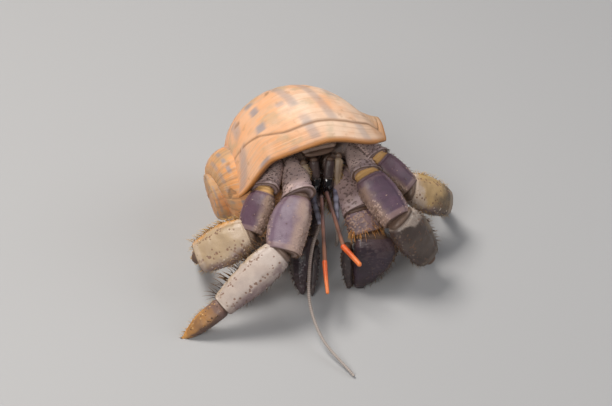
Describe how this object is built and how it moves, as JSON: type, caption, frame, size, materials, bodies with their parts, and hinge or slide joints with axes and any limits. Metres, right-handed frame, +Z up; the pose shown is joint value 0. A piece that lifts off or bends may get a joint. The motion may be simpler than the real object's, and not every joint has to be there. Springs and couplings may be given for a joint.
{
  "type": "hermit crab",
  "caption": "Land hermit crab standing in its turban shell, as a still, life-size museum-style model.",
  "frame": {"origin": "middle of the shell's flat on the floor, under the coil", "axes": "+Z up, -Y the way the crab looks, +X towards its left legs; the coil's spire points to -X"},
  "size_m": [0.0576, 0.0631, 0.0337],
  "materials": {
    "shell": "satin, tan to cream shell with an orange-brown lip",
    "carapace": "matt, granular",
    "soft": "soft skin",
    "limb_purple": "satin, granular purple-grey",
    "limb_pale": "satin, whitish tan with brown pits",
    "limb_tip": "satin, orange-brown",
    "eye": "glossy black",
    "feeler": "matt",
    "feeler_tip": "matt coral"
  },
  "bodies": {
    "root": {"shell": "shell", "leg2_R_ischium": "limb_purple", "leg2_R_merus": "limb_purple", "leg2_R_carpus": "limb_purple", "leg2_R_propodus": "limb_pale", "leg2_R_dactylus": "limb_tip", "leg2_L_ischium": "limb_purple", "leg2_L_merus": "limb_purple", "leg2_L_carpus": "limb_purple", "leg2_L_propodus": "limb_pale", "leg2_L_dactylus": "limb_tip", "leg3_R_ischium": "limb_purple", "leg3_R_merus": "limb_purple", "leg3_R_carpus": "limb_purple", "leg3_R_propodus": "limb_pale", "leg3_R_dactylus": "limb_tip", "leg3_L_ischium": "limb_purple", "leg3_L_merus": "limb_purple", "leg3_L_carpus": "limb_purple", "leg3_L_propodus": "limb_pale", "leg3_L_dactylus": "limb_tip", "claw_L_finger": "limb_purple", "claw_R_finger": "limb_purple", "claw_L_ischium": "limb_purple", "claw_L_merus": "limb_purple", "claw_L_carpus": "limb_purple", "claw_L_palm": "limb_purple", "claw_R_ischium": "limb_purple", "claw_R_merus": "limb_purple", "claw_R_carpus": "limb_purple", "claw_R_palm": "limb_purple", "eyestalk_R": "limb_purple", "eye_R": "eye", "eyestalk_L": "limb_purple", "eye_L": "eye", "antenna_scale_R": "limb_purple", "antenna_scale_L": "limb_purple", "antenna_base_R": "feeler", "antenna_flagellum_R": "feeler", "antenna_base_L": "feeler", "antenna_flagellum_L": "feeler", "antennule_base_R": "feeler", "antennule_stalk_R": "feeler", "antennule_tip_R": "feeler_tip", "antennule_base_L": "feeler", "antennule_stalk_L": "feeler", "antennule_tip_L": "feeler_tip", "carapace_shield": "carapace", "maxilliped_R": "limb_purple", "maxilliped_L": "limb_purple", "thorax": "carapace", "leg4_R": "soft", "leg4_L": "soft", "abdomen": "soft"}
  },
  "joints": []
}
